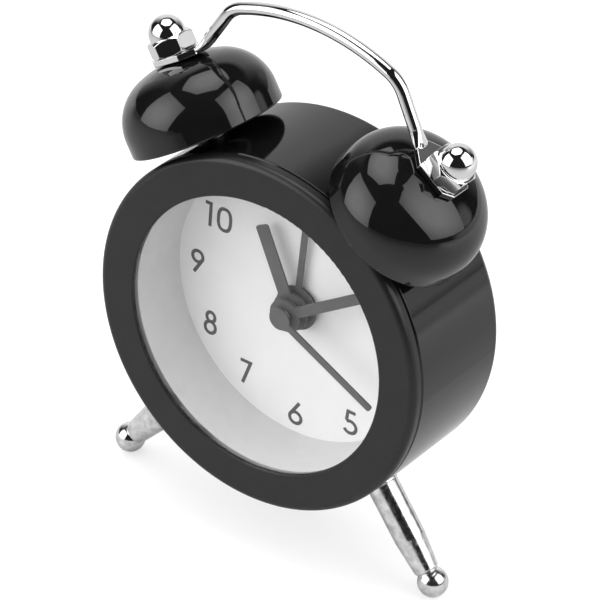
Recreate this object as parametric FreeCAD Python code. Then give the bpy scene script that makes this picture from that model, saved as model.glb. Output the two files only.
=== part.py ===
import FreeCAD, Part
import math
import os
from FreeCAD import Placement, Rotation, Vector

# A small twin-bell quartz alarm clock that stands on three turned legs.
# Working frame: the drum's axis lies along +Y, the front of the bezel is at depth 0,
# +X is right as seen from the front and +Z is up.  The finished pieces are moved so that
# the feet stand on Z = 0, below the middle of the clock.

# ---------------------------------------------------------------- driving dimensions, mm
# Case
case_radius = 32.0
case_depth = 24.5
case_wall = 0.8
case_back_round = 1.0
case_lip_width = 1.4
seam_chamfer = 0.3
bezel_depth = 2.4
bezel_round = 1.2
bezel_lip = 0.6
bezel_sleeve_length = 3.0
bezel_sleeve_wall = 1.0
bezel_width = 7.0
opening_round = 0.3
fixed_gap = 0.05

# Glass, inner ring and dial
lens_thickness = 1.2
dial_depth = 13.3
dial_thickness = 0.6
dial_rim = 2.1
ring_setback = 0.3
ring_wall = 1.2
ring_flange = 1.2

# Hands: depth of each front face, length from the axis, width, hub and heading
hand_thickness = 0.4
hand_corner = 0.45
second_hand = {"depth": 7.2, "length": 21.4, "width": 1.2, "hub": 2.0, "heading": 116.2}
minute_hand = {"depth": 8.6, "length": 20.5, "width": 1.9, "hub": 2.9, "heading": 56.5}
hour_hand = {"depth": 10.3, "length": 15.6, "width": 2.5, "hub": 3.4, "heading": -26.6}
alarm_hand = {"depth": 11.9, "length": 17.0, "width": 1.1, "hub": 4.0, "heading": 2.5}
hub_gap = 0.3
boss_inset = 0.4
alarm_boss_inset = 0.6

# Coaxial arbors, from the inside out
running_gap = 0.06
seat_gap = 0.02
second_arbor_radius = 0.5
minute_tube_radius = 1.1
hour_tube_radius = 1.8
alarm_tube_radius = 2.5
bush_radius = 3.3

# Movement housing
movement_width = 36.0
movement_top = 18.4
movement_bottom = -5.2
movement_wall = 1.0
movement_corner = 3.0
movement_depth = 8.6
movement_split = 4.3

# Wheels: the alarm, hour, motion, second and drive wheels lie one behind the other
wheel_width = 0.7
wheel_layer_gap = 0.3
tooth_root = 1.15
tooth_tip = 0.8
tooth_share = 0.42
tooth_taper = 0.3
set_module = 0.3
alarm_wheel_teeth = 24
alarm_set_teeth = 36
cannon_teeth = 10
motion_wheel_teeth = 20
time_set_teeth = 14
hour_wheel_teeth = 36
hour_pinion_teeth = 6
second_module = 0.215
second_wheel_teeth = 36
second_pinion_teeth = 6
drive_module = 0.245
drive_wheel_teeth = 30
rotor_pinion_teeth = 6
spindle_radius = 1.2
spindle_heading = 60.0
pivot_radius = 0.4
pivot_depth = 0.6
rotor_radius = 2.2
rotor_length = 2.4
rotor_heading = 0.0

# Circuit, coil and sounder
board_height = 4.8
board_thickness = 0.8
board_post_gap = 0.8
chip_width = 4.0
chip_inset = 2.0
chip_border = 0.8
coil_radius = 2.0
coil_post_gap = 0.5
core_thickness = 0.8
coil_cheek = 0.6
rotor_gap = 0.3
stator_margin = 1.0
crystal_radius = 1.0
crystal_length = 6.0
crystal_post_gap = 1.8
sounder_radius = 4.0
sounder_depth = 6.5
sounder_gap = 0.6
sounder_heading = 75.0
sound_hole_radius = 0.5
sound_hole_ring = 2.0
sound_holes = 6

# Battery (AAA) and its bay
battery_radius = 5.25
battery_length = 44.5
battery_nub_radius = 1.9
battery_nub_length = 1.0
battery_gap = 0.2
bay_wall = 0.8
bay_end_room = 1.2
bay_floor = 0.7
bay_top_gap = 0.25
bay_front_gap = 0.3
bay_case_gap = 0.2
contact_thickness = 0.3
contact_height = 7.0

# Back cover, battery door, knobs and switch
cover_plate = 1.2
cover_raise = 1.2
door_thickness = 1.2
door_tongue = 1.0
door_tongue_thickness = 0.6
door_travel = 6.0
door_gap = 0.15
hump_border = 2.6
hump_top_border = 0.6
door_ribs = 4
door_rib_pitch = 1.6
door_groove_width = 0.8
door_groove_depth = 0.3
door_groove_length = 10.0
knob_radius = 4.0
knob_length = 4.0
knob_ribs = 18
knob_rib_depth = 0.35
knob_chamfer = 0.5
knob_standoff = 0.4
switch_z = 13.0
switch_travel = 3.0
switch_nub_length = 2.4
switch_nub_width = 2.4
switch_nub_height = 1.4
switch_blade_thickness = 0.8
switch_blade_overlap = 2.4
screw_radius = 1.0
screw_head_radius = 1.8
screw_head_height = 0.9
screw_slot_width = 0.5
screw_slot_depth = 0.5
screw_end_room = 0.5
screw_inset = 2.8

# Bells on their studs; the bells and the handle sit turned about the drum's axis
bell_depth = 9.8
stud_radius = 2.0
bell_lean = 34.6
top_turn = 1.4
bell_radius = 13.3
bell_height = 12.5
bell_wall = 0.8
bell_edge = 0.3
bell_shoulder = 8.8
bell_crown = 22.0
bell_stand_off = 1.8
spacer_radius = 2.7
nut_across_flats = 7.0
nut_hex_height = 2.9
nut_neck_height = 0.5
nut_dome_radius = 3.1
nut_bore_depth = 4.6
nut_edge = 0.45
nut_dome_gap = 0.4
nut_turn = 30.0
inner_nut_height = 2.2
inner_nut_gap = 0.03
stud_end = 0.6
leg_nut_across_flats = 5.5
leg_stud_end = 1.0

# Handle: one wire, flattened at both ends
wire_radius = 1.1
arch_rise = 23.0
arch_stand_off = 5.8
bend_radius = 6.0
handle_leg_lean = 29.0
plate_thickness = 1.0
plate_half_width = 3.5
plate_neck_half_width = 1.6
plate_inner_reach = 6.1
plate_outer_reach = 3.9
plate_clip = 1.6
plate_neck_overlap = 0.3
plate_shoulder_run = 0.6
flat_middle_share = 0.4
flat_run = 2.6
flat_step = 0.04
flat_middle_half_width = 1.4
flat_middle_half_thickness = 0.95

# Legs
leg_depth = 11.2
leg_lean = 38.5
leg_reach = 51.6
leg_top_radius = 2.75
leg_waist_radius = 2.7
leg_end_radius = 2.15
leg_neck_radius = 1.8
leg_ball_radius = 2.65
leg_waist_share = 0.55
leg_end_cone = 0.5
leg_edge = 0.2
leg_washer_radius = 2.9
leg_washer_thickness = 0.6
leg_stud_radius = 1.5
rear_leg_depth = 18.6

# ---------------------------------------------------------------- sizes that follow
case_inner_radius = case_radius - case_wall
opening_radius = case_radius - bezel_width
ring_radius = opening_radius + ring_setback
sleeve_radius = case_inner_radius - fixed_gap
sleeve_inner_radius = sleeve_radius - bezel_sleeve_wall
lens_radius = sleeve_inner_radius - fixed_gap
lens_back = bezel_lip + lens_thickness
dial_back = dial_depth + dial_thickness
dial_radius = ring_radius + dial_rim

movement_front = dial_back
movement_back = movement_front + movement_depth
inside_front = movement_front + movement_wall
inside_back = movement_back - movement_wall
layer_pitch = wheel_width + wheel_layer_gap
alarm_layer = inside_front + wheel_layer_gap
hour_layer = alarm_layer + layer_pitch
motion_layer = hour_layer + layer_pitch
second_layer = motion_layer + layer_pitch
drive_layer = second_layer + layer_pitch
spindle_distance = set_module * (alarm_wheel_teeth + alarm_set_teeth) / 2
motion_distance = set_module * (cannon_teeth + motion_wheel_teeth) / 2
time_set_distance = set_module * (motion_wheel_teeth + time_set_teeth) / 2
hour_module = 2 * motion_distance / (hour_wheel_teeth + hour_pinion_teeth)
second_distance = second_module * (second_wheel_teeth + second_pinion_teeth) / 2
drive_distance = drive_module * (drive_wheel_teeth + rotor_pinion_teeth) / 2
spindle_x = spindle_distance * math.sin(math.radians(spindle_heading))
spindle_z = spindle_distance * math.cos(math.radians(spindle_heading))
motion_spread = math.acos((spindle_distance ** 2 + motion_distance ** 2 - time_set_distance ** 2)
                          / (2 * spindle_distance * motion_distance))
motion_heading = -spindle_heading - math.degrees(motion_spread)
motion_x = motion_distance * math.sin(math.radians(motion_heading))
motion_z = motion_distance * math.cos(math.radians(motion_heading))
time_set_heading = math.degrees(math.atan2(-spindle_x - motion_x, spindle_z - motion_z))
rotor_x = drive_distance * math.sin(math.radians(rotor_heading))
rotor_z = second_distance + drive_distance * math.cos(math.radians(rotor_heading))
magnet_back = drive_layer - wheel_layer_gap
rotor_middle = magnet_back - rotor_length / 2
stator_reach = rotor_radius + rotor_gap + stator_margin
coil_z = movement_top - movement_wall - coil_radius - coil_cheek
post_radius = screw_radius + movement_wall
coil_start = screw_inset + post_radius + coil_post_gap + coil_cheek - movement_width / 2
coil_length = rotor_x - stator_reach - coil_cheek - coil_start

cover_front = movement_back
cover_step = cover_front + cover_plate
cover_back = cover_step + cover_raise
cover_radius = case_inner_radius - fixed_gap
cover_raised_radius = case_radius - case_wall - case_lip_width - fixed_gap
bay_half_length = battery_length / 2 + bay_end_room
bay_half_height = battery_radius + battery_gap
bay_front = dial_back + bay_front_gap
battery_depth = bay_front + bay_floor + battery_gap + battery_radius
battery_z = movement_bottom - bay_top_gap - bay_wall - bay_half_height
sounder_distance = case_inner_radius - sounder_radius - sounder_gap
sounder_x = sounder_distance * math.sin(math.radians(sounder_heading))
sounder_z = sounder_distance * math.cos(math.radians(sounder_heading))
door_front = battery_depth + battery_radius + battery_gap
hump_back = door_front + door_thickness
knob_front = cover_back + knob_standoff
knob_back = knob_front + knob_length

bell_rim = case_radius + bell_stand_off
bell_top = bell_rim + bell_height
plate_top = bell_top + plate_thickness
nut_dome_centre = plate_top + nut_hex_height + nut_neck_height
arch_height = case_radius + arch_rise
arch_radius = case_radius + arch_stand_off
stud_bottom = (math.sqrt(case_inner_radius ** 2 - nut_across_flats ** 2 / 3) - inner_nut_gap
               - inner_nut_height - stud_end)

foot_drop = leg_reach * math.cos(math.radians(leg_lean)) + leg_ball_radius
overall_front = bell_depth - bell_radius
overall_back = knob_back
frame_shift = Vector(0, -(overall_front + overall_back) / 2, foot_drop)


# ---------------------------------------------------------------- helpers
def closed_face(start, steps, vector):
    """Face inside an outline; a step is the end of a line, or the middle and end of an arc."""
    edges = []
    here = start
    for step in steps:
        if isinstance(step[0], tuple):
            middle, end = step
            arc = Part.Arc(vector(*here), vector(*middle), vector(*end))
            edges.append(arc.toShape())
        else:
            end = step
            edges.append(Part.makeLine(vector(*here), vector(*end)))
        here = end
    if (vector(*here) - vector(*start)).Length > 1e-6:
        edges.append(Part.makeLine(vector(*here), vector(*start)))
    return Part.Face(Part.Wire(edges))


def turned(start, steps):
    """Solid of revolution about the depth axis from (radius, depth) points."""
    face = closed_face(start, steps, lambda radius, depth: Vector(radius, depth, 0))
    return face.revolve(Vector(0, 0, 0), Vector(0, 1, 0), 360)


def turned_upright(start, steps):
    """Solid of revolution about Z from (radius, height) points."""
    face = closed_face(start, steps, lambda radius, height: Vector(radius, 0, height))
    return face.revolve(Vector(0, 0, 0), Vector(0, 0, 1), 360)


def rounded(centre, radius, start_angle, end_angle):
    """Middle and end of an arc about a centre, angles in degrees in the outline's plane."""
    points = []
    for angle in ((start_angle + end_angle) / 2, end_angle):
        turn = math.radians(angle)
        points.append((centre[0] + radius * math.cos(turn), centre[1] + radius * math.sin(turn)))
    return tuple(points)


def disc(radius, front, back, x=0.0, z=0.0):
    """Cylinder along the depth axis."""
    return Part.makeCylinder(radius, back - front, Vector(x, front, z), Vector(0, 1, 0))


def ring(outer, inner, front, back, x=0.0, z=0.0):
    return disc(outer, front, back, x, z).cut(disc(inner, front, back, x, z))


def block(x_low, x_high, front, back, z_low, z_high):
    return Part.makeBox(x_high - x_low, back - front, z_high - z_low, Vector(x_low, front, z_low))


def rounded_block(x_low, x_high, front, back, z_low, z_high, corner):
    """Box whose edges along the depth are rounded."""
    solid = block(x_low, x_high, front, back, z_low, z_high)
    edges = [edge for edge in solid.Edges if abs(edge.tangentAt(edge.FirstParameter).y) > 0.9]
    return solid.makeFillet(corner, edges)


def turn_about_depth(shape, heading, x=0.0, z=0.0):
    """Turn a shape about the depth axis; a heading of 90 points what was up to +X."""
    turned_shape = shape.copy()
    turned_shape.rotate(Vector(x, 0, z), Vector(0, 1, 0), heading)
    return turned_shape


def on_stud(shape, lean, depth):
    """Stand an upright shape on the drum, leaning away from the vertical."""
    placed = shape.copy()
    seat = Placement(Vector(0, depth, 0), Rotation(Vector(0, 1, 0), lean))
    placed.Placement = seat.multiply(placed.Placement)
    return placed


def bell_pair(shape):
    return [on_stud(shape, top_turn + bell_lean, bell_depth),
            on_stud(shape, top_turn - bell_lean, bell_depth)]


def leg_set(shape):
    return [on_stud(shape, 180 - leg_lean, leg_depth), on_stud(shape, leg_lean - 180, leg_depth),
            on_stud(shape, 180, rear_leg_depth)]


def hex_prism(across_flats, bottom, top, heading=0.0):
    corner = across_flats / math.sqrt(3)
    points = []
    for side in range(7):
        turn = math.radians(heading + 60 * side)
        points.append(Vector(corner * math.cos(turn), corner * math.sin(turn), bottom))
    return Part.Face(Part.makePolygon(points)).extrude(Vector(0, 0, top - bottom))


def toothed_wheel(module, teeth, width, front, bore, x=0.0, z=0.0, phase=0.0):
    """Spur wheel along the depth axis with straight-flanked teeth and working backlash."""
    pitch_radius = module * teeth / 2
    root_radius = pitch_radius - tooth_root * module
    tip_radius = pitch_radius + tooth_tip * module
    half_tooth = tooth_share * 180 / teeth
    flank = math.degrees(tooth_taper * module / pitch_radius)
    corners = []
    for tooth in range(teeth):
        middle = phase + 360 * tooth / teeth
        for radius, angle in ((root_radius, -half_tooth - flank), (tip_radius, -half_tooth + flank),
                              (tip_radius, half_tooth - flank), (root_radius, half_tooth + flank)):
            turn = math.radians(middle + angle)
            corners.append(Vector(x + radius * math.sin(turn), front, z + radius * math.cos(turn)))
    corners.append(corners[0])
    wheel = Part.Face(Part.makePolygon(corners)).extrude(Vector(0, width, 0))
    return wheel.cut(disc(bore, front - 1, front + width + 1, x, z))


def fused(shapes):
    whole = shapes[0]
    for shape in shapes[1:]:
        whole = whole.fuse(shape)
    return whole.removeSplitter()


# ---------------------------------------------------------------- case
def bezel():
    outer_round = rounded((case_radius - bezel_round, bezel_round), bezel_round, -90, 0)
    inner_round = rounded((opening_radius + opening_round, opening_round), opening_round, 180, 270)
    return turned((opening_radius, opening_round), [
        inner_round,
        (case_radius - bezel_round, 0),
        outer_round,
        (case_radius, bezel_depth - seam_chamfer),
        (case_radius - seam_chamfer, bezel_depth),
        (sleeve_radius, bezel_depth),
        (sleeve_radius, bezel_depth + bezel_sleeve_length),
        (sleeve_inner_radius, bezel_depth + bezel_sleeve_length),
        (sleeve_inner_radius, bezel_lip),
        (opening_radius, bezel_lip)])


def case_drum():
    round_centre = (case_radius - case_back_round, case_depth - case_back_round)
    back_round = rounded(round_centre, case_back_round, 0, 90)
    lip_radius = case_inner_radius - case_lip_width
    shell = turned((case_radius - seam_chamfer, bezel_depth), [
        (case_radius, bezel_depth + seam_chamfer),
        (case_radius, case_depth - case_back_round),
        back_round,
        (lip_radius, case_depth),
        (lip_radius, case_depth - case_wall),
        (case_inner_radius, case_depth - case_wall),
        (case_inner_radius, bezel_depth)])
    hole_start = Vector(0, 0, case_inner_radius - case_wall - 1)
    bell_hole = Part.makeCylinder(stud_radius + fixed_gap, 2 * case_wall + 2, hole_start)
    leg_hole = Part.makeCylinder(leg_stud_radius + fixed_gap, 2 * case_wall + 2, hole_start)
    for hole in bell_pair(bell_hole) + leg_set(leg_hole):
        shell = shell.cut(hole)
    return shell


def lens():
    return disc(lens_radius, bezel_lip, lens_back)


def dial_ring():
    outer = ring_radius + ring_wall
    return turned((ring_radius, lens_back), [
        (lens_radius, lens_back),
        (lens_radius, lens_back + ring_flange),
        (outer, lens_back + ring_flange),
        (outer, dial_depth - ring_flange),
        (dial_radius, dial_depth - ring_flange),
        (dial_radius, dial_depth),
        (ring_radius, dial_depth)])


def dial():
    return ring(dial_radius, bush_radius + fixed_gap, dial_depth, dial_back)


# ---------------------------------------------------------------- hands
def hand(sizes, boss_radius, bore_radius, boss_back, capped=False):
    """Flat hand with a hub disc in front and a boss behind it, pointing up before it is turned."""
    front = sizes["depth"]
    back = front + hand_thickness
    half = sizes["width"] / 2
    blade = block(-half, half, front, back, 0, sizes["length"])
    tips = []
    for edge in blade.Edges:
        along_depth = abs(edge.tangentAt(edge.FirstParameter).y) > 0.9
        if along_depth and edge.CenterOfMass.z > sizes["length"] / 2:
            tips.append(edge)
    blade = blade.makeFillet(hand_corner, tips)
    body = fused([blade, disc(sizes["hub"], front, back), disc(boss_radius, back, boss_back)])
    bore_front = back if capped else front - 1
    body = body.cut(disc(bore_radius + seat_gap, bore_front, boss_back + 1))
    return turn_about_depth(body, sizes["heading"])


def make_hands():
    second_back = minute_hand["depth"] - hub_gap
    minute_back = hour_hand["depth"] - hub_gap
    hour_back = alarm_hand["depth"] - hub_gap
    alarm_back = dial_depth - hub_gap
    return {
        "second_hand": hand(second_hand, minute_tube_radius, second_arbor_radius, second_back, True),
        "minute_hand": hand(minute_hand, minute_hand["hub"] - boss_inset, minute_tube_radius, minute_back),
        "hour_hand": hand(hour_hand, hour_hand["hub"] - boss_inset, hour_tube_radius, hour_back),
        "alarm_hand": hand(alarm_hand, alarm_hand["hub"] - alarm_boss_inset, alarm_tube_radius, alarm_back)}


# ---------------------------------------------------------------- wheels on the centre arbors
def alarm_wheel():
    bore = hour_tube_radius + running_gap
    tube = ring(alarm_tube_radius, bore, alarm_hand["depth"], alarm_layer + wheel_width)
    wheel = toothed_wheel(set_module, alarm_wheel_teeth, wheel_width, alarm_layer, bore)
    return fused([tube, wheel])


def hour_wheel():
    bore = minute_tube_radius + running_gap
    tube = ring(hour_tube_radius, bore, hour_hand["depth"], hour_layer + wheel_width)
    wheel = toothed_wheel(hour_module, hour_wheel_teeth, wheel_width, hour_layer, bore)
    return fused([tube, wheel])


def minute_wheel():
    bore = second_arbor_radius + running_gap
    tube = ring(minute_tube_radius, bore, minute_hand["depth"], motion_layer + wheel_width)
    pinion = toothed_wheel(set_module, cannon_teeth, wheel_width, motion_layer, bore)
    return fused([tube, pinion])


def second_wheel():
    cap_seat = second_hand["depth"] + hand_thickness
    arbor = disc(second_arbor_radius, cap_seat, inside_back + pivot_depth)
    wheel = toothed_wheel(second_module, second_wheel_teeth, wheel_width, second_layer,
                          second_arbor_radius / 2)
    return fused([arbor, wheel])


def spindle(x, front_wheel):
    """Setting spindle from the movement's front wall to its knob."""
    rod = disc(spindle_radius, inside_front - pivot_depth, knob_front + knob_length / 2, x, spindle_z)
    return fused([rod] + front_wheel)


def meshing_phase(heading, teeth, partner_teeth, partner_phase=0.0):
    """Phase that puts a gap of one wheel on a tooth of its partner, which lies against the heading."""
    partner_step = 360 / partner_teeth
    offset = (heading - partner_phase) % partner_step
    return heading + 180 + 180 / teeth + offset * partner_teeth / teeth


def alarm_spindle():
    phase = meshing_phase(spindle_heading, alarm_set_teeth, alarm_wheel_teeth)
    wheel = toothed_wheel(set_module, alarm_set_teeth, wheel_width, alarm_layer, spindle_radius / 2,
                          spindle_x, spindle_z, phase)
    return spindle(spindle_x, [wheel])


def motion_wheel_phase():
    return meshing_phase(motion_heading, motion_wheel_teeth, cannon_teeth)


def motion_wheel():
    """Wheel and pinion that turn the hour wheel once in twelve turns of the minute hand."""
    arbor = disc(pivot_radius, inside_front - pivot_depth, inside_back + pivot_depth, motion_x, motion_z)
    wheel = toothed_wheel(set_module, motion_wheel_teeth, wheel_width, motion_layer, pivot_radius / 2,
                          motion_x, motion_z, motion_wheel_phase())
    pinion_phase = meshing_phase(motion_heading, hour_pinion_teeth, hour_wheel_teeth)
    pinion = toothed_wheel(hour_module, hour_pinion_teeth, wheel_width + wheel_layer_gap, hour_layer,
                           pivot_radius / 2, motion_x, motion_z, pinion_phase)
    return fused([arbor, wheel, pinion])


def time_spindle():
    phase = meshing_phase(time_set_heading, time_set_teeth, motion_wheel_teeth, motion_wheel_phase())
    pinion = toothed_wheel(set_module, time_set_teeth, wheel_width, motion_layer, spindle_radius / 2,
                           -spindle_x, spindle_z, phase)
    return spindle(-spindle_x, [pinion])


def drive_wheel():
    z = second_distance
    arbor = disc(pivot_radius, inside_front - pivot_depth, inside_back + pivot_depth, 0, z)
    pinion = toothed_wheel(second_module, second_pinion_teeth, wheel_width, second_layer, pivot_radius / 2,
                           0, z, phase=meshing_phase(0, second_pinion_teeth, second_wheel_teeth))
    wheel = toothed_wheel(drive_module, drive_wheel_teeth, wheel_width, drive_layer, pivot_radius / 2,
                          0, z)
    return fused([arbor, pinion, wheel])


def rotor():
    arbor = disc(pivot_radius, inside_front - pivot_depth, inside_back + pivot_depth, rotor_x, rotor_z)
    magnet = disc(rotor_radius, magnet_back - rotor_length, magnet_back, rotor_x, rotor_z)
    phase = meshing_phase(rotor_heading, rotor_pinion_teeth, drive_wheel_teeth)
    pinion = toothed_wheel(drive_module, rotor_pinion_teeth, wheel_width, drive_layer, pivot_radius / 2,
                           rotor_x, rotor_z, phase)
    return fused([arbor, magnet, pinion])


# ---------------------------------------------------------------- movement
def movement_half(front, back, wall_front, wall_back):
    """Open tray: a wall at wall_front..wall_back and sides over front..back."""
    half = movement_width / 2
    outer = rounded_block(-half, half, front, back, movement_bottom, movement_top, movement_corner)
    inner = rounded_block(-half + movement_wall, half - movement_wall, front - 1, back + 1,
                          movement_bottom + movement_wall, movement_top - movement_wall,
                          movement_corner - movement_wall)
    wall = rounded_block(-half, half, wall_front, wall_back, movement_bottom, movement_top, movement_corner)
    return outer.cut(inner).fuse(wall)


def screw_places():
    x = movement_width / 2 - screw_inset
    return [(x, movement_top - screw_inset), (-x, movement_top - screw_inset)]


def pivot_places():
    return [(0, second_distance), (rotor_x, rotor_z), (motion_x, motion_z)]


def movement_front_half():
    split = movement_front + movement_split
    tray = movement_half(movement_front, split, movement_front, inside_front)
    bush = disc(bush_radius, dial_depth, inside_front)
    tray = fused([tray, bush])
    tray = tray.cut(disc(alarm_tube_radius + running_gap, dial_depth - 1, inside_front + 1))
    pivot_front = inside_front - pivot_depth
    for x in (-spindle_x, spindle_x):
        tray = tray.cut(disc(spindle_radius + running_gap, pivot_front, inside_front + 1, x, spindle_z))
    for x, z in pivot_places():
        tray = tray.cut(disc(pivot_radius + running_gap, pivot_front, inside_front + 1, x, z))
    for x, z in screw_places():
        post = disc(post_radius, inside_front, split, x, z)
        bore = disc(screw_radius + seat_gap, inside_front + movement_wall, split + 1, x, z)
        tray = fused([tray, post]).cut(bore)
    return tray


def movement_rear_half():
    split = movement_front + movement_split
    tray = movement_half(split, movement_back, inside_back, movement_back)
    for x in (-spindle_x, spindle_x):
        tray = tray.cut(disc(spindle_radius + running_gap, split, movement_back + 1, x, spindle_z))
    for x, z in pivot_places():
        tray = tray.cut(disc(pivot_radius + running_gap, split, inside_back + pivot_depth, x, z))
    tray = tray.cut(disc(second_arbor_radius + running_gap, split, inside_back + pivot_depth))
    for x, z in screw_places():
        post = disc(post_radius, split, inside_back, x, z)
        bore = disc(screw_radius + fixed_gap, split - 1, movement_back + 1, x, z)
        tray = fused([tray, post]).cut(bore)
    return tray


def circuit_board():
    half = movement_width / 2 - screw_inset - post_radius - board_post_gap
    top = movement_top - movement_wall - fixed_gap
    back = inside_back
    board = block(-half, half, back - board_thickness, back, top - board_height, top)
    chip = block(chip_inset - half, chip_inset + chip_width - half, back - 2 * board_thickness,
                 back - board_thickness, top - board_height + chip_border, top - chip_border)
    return fused([board, chip])


def quartz_crystal():
    x = movement_width / 2 - screw_inset - post_radius - crystal_post_gap - crystal_length
    z = movement_top - movement_wall - fixed_gap - board_height / 2
    depth = inside_back - board_thickness - crystal_radius
    return Part.makeCylinder(crystal_radius, crystal_length, Vector(x, depth, z), Vector(1, 0, 0))


def stator():
    """Laminated plate with the rotor's window and an arm that is the coil's core."""
    front = rotor_middle - core_thickness / 2
    back = front + core_thickness
    plate = block(rotor_x - stator_reach, rotor_x + stator_reach, front, back,
                  rotor_z - stator_reach, coil_z + core_thickness)
    arm = block(coil_start - coil_cheek, rotor_x, front, back,
                coil_z - core_thickness, coil_z + core_thickness)
    window = disc(rotor_radius + rotor_gap, front - 1, back + 1, rotor_x, rotor_z)
    return fused([plate, arm]).cut(window)


def coil():
    start = Vector(coil_start, rotor_middle, coil_z)
    winding = Part.makeCylinder(coil_radius, coil_length, start, Vector(1, 0, 0))
    half_depth = core_thickness / 2 + seat_gap
    half_height = core_thickness + seat_gap
    core = block(coil_start - 1, coil_start + coil_length + 1, rotor_middle - half_depth,
                 rotor_middle + half_depth, coil_z - half_height, coil_z + half_height)
    return winding.cut(core)


def sounder():
    return disc(sounder_radius, cover_front - sounder_depth, cover_front, sounder_x, sounder_z)


# ---------------------------------------------------------------- battery and back
def battery():
    half = battery_length / 2
    can = Part.makeCylinder(battery_radius, battery_length - battery_nub_length,
                            Vector(-half, battery_depth, battery_z), Vector(1, 0, 0))
    nub = Part.makeCylinder(battery_nub_radius, battery_nub_length,
                            Vector(half - battery_nub_length, battery_depth, battery_z), Vector(1, 0, 0))
    return fused([can, nub])


def contact_plate(side):
    """Flat contact against the end wall of the bay, with a sprung tongue that bears on the battery."""
    wall = bay_half_length
    reach = battery_length / 2
    low = battery_z - contact_height / 2
    high = low + contact_height
    outer = sorted((side * wall, side * (wall - contact_thickness)))
    tongue = sorted((side * reach, side * (reach + contact_thickness)))
    bridge = sorted((side * reach, side * wall))
    half = contact_height / 2
    quarter = contact_height / 4
    plate = block(outer[0], outer[1], battery_depth - half, battery_depth + half, low, high)
    blade = block(tongue[0], tongue[1], battery_depth - quarter, battery_depth + quarter, low, high)
    fold = block(bridge[0], bridge[1], battery_depth - quarter, battery_depth + quarter,
                 low, low + contact_thickness)
    return fused([plate, blade, fold])


def back_cover():
    plate = disc(cover_radius, cover_front, cover_step)
    raised = disc(cover_raised_radius, cover_step, cover_back)
    half_x = bay_half_length + bay_wall
    half_z = bay_half_height + bay_wall
    bay = block(-half_x, half_x, bay_front, cover_front, battery_z - half_z, battery_z + half_z)
    bay = bay.common(disc(case_inner_radius - bay_case_gap, bay_front, cover_front))
    hump = block(-half_x - hump_border, half_x + hump_border, cover_back, hump_back,
                 battery_z - half_z - hump_border, battery_z + half_z + hump_top_border)
    hump = hump.common(disc(cover_raised_radius, cover_back, hump_back))
    cover = fused([plate, raised, bay, hump])
    cover = cover.cut(block(-bay_half_length, bay_half_length, bay_front + bay_floor, hump_back + 1,
                            battery_z - bay_half_height, battery_z + bay_half_height))
    door_x = bay_half_length + door_gap
    door_low = -case_radius
    door_high = battery_z + bay_half_height + bay_wall
    cover = cover.cut(block(-door_x, door_x, door_front, hump_back + 1, door_low, door_high))
    groove_x = door_x + door_tongue
    cover = cover.cut(block(-groove_x, groove_x, door_front, door_front + door_tongue_thickness + door_gap,
                            door_low, door_high))
    for x in (-spindle_x, spindle_x):
        cover = cover.cut(disc(spindle_radius + running_gap, cover_front - 1, cover_back + 1, x, spindle_z))
    head_front = cover_back - screw_head_height
    for x, z in screw_places():
        cover = cover.cut(disc(screw_radius + fixed_gap, cover_front - 1, cover_back + 1, x, z))
        cover = cover.cut(disc(screw_head_radius + fixed_gap, head_front, cover_back + 1, x, z))
    half_slot = (switch_nub_length + switch_travel) / 2 + door_gap
    half_slot_width = switch_nub_width / 2 + door_gap
    cover = cover.cut(block(-half_slot, half_slot, cover_front - 1, cover_back + 1,
                            switch_z - half_slot_width, switch_z + half_slot_width))
    pocket = half_slot + switch_blade_overlap
    pocket_back = cover_front + switch_blade_thickness + door_gap
    cover = cover.cut(block(-pocket, pocket, cover_front - 1, pocket_back,
                            switch_z - switch_nub_width, switch_z + switch_nub_width))
    cover = cover.cut(disc(sound_hole_radius, cover_front - 1, cover_back + 1, sounder_x, sounder_z))
    for hole in range(sound_holes):
        turn = 2 * math.pi * hole / sound_holes
        cover = cover.cut(disc(sound_hole_radius, cover_front - 1, cover_back + 1,
                               sounder_x + sound_hole_ring * math.sin(turn),
                               sounder_z + sound_hole_ring * math.cos(turn)))
    return cover


def battery_door():
    half_x = bay_half_length
    low = battery_z - bay_half_height - bay_wall
    high = battery_z + bay_half_height + bay_wall - door_gap
    plate = block(-half_x, half_x, door_front + door_gap / 2, hump_back, low, high)
    tongue = block(-half_x - door_tongue + door_gap, half_x + door_tongue - door_gap,
                   door_front + door_gap / 2, door_front + door_tongue_thickness, low, high)
    door = fused([plate, tongue]).common(disc(cover_raised_radius, door_front, hump_back))
    for groove in range(door_ribs):
        z = battery_z + door_rib_pitch * (groove - (door_ribs - 1) / 2)
        door = door.cut(block(-door_groove_length / 2, door_groove_length / 2,
                              hump_back - door_groove_depth, hump_back + 1,
                              z - door_groove_width / 2, z + door_groove_width / 2))
    return door


def knob(x):
    """Ribbed knob pressed on its spindle."""
    body = disc(knob_radius, knob_front, knob_back, x, spindle_z)
    rim = [edge for edge in body.Edges if abs(edge.CenterOfMass.y - knob_back) < 1e-6]
    body = body.makeChamfer(knob_chamfer, rim)
    for rib in range(knob_ribs):
        turn = 2 * math.pi * rib / knob_ribs
        groove = disc(knob_rib_depth, knob_front - 1, knob_back + 1,
                      x + knob_radius * math.sin(turn), spindle_z + knob_radius * math.cos(turn))
        body = body.cut(groove)
    seat_back = knob_front + knob_length / 2
    return body.cut(disc(spindle_radius + seat_gap, knob_front - 1, seat_back, x, spindle_z))


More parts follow.
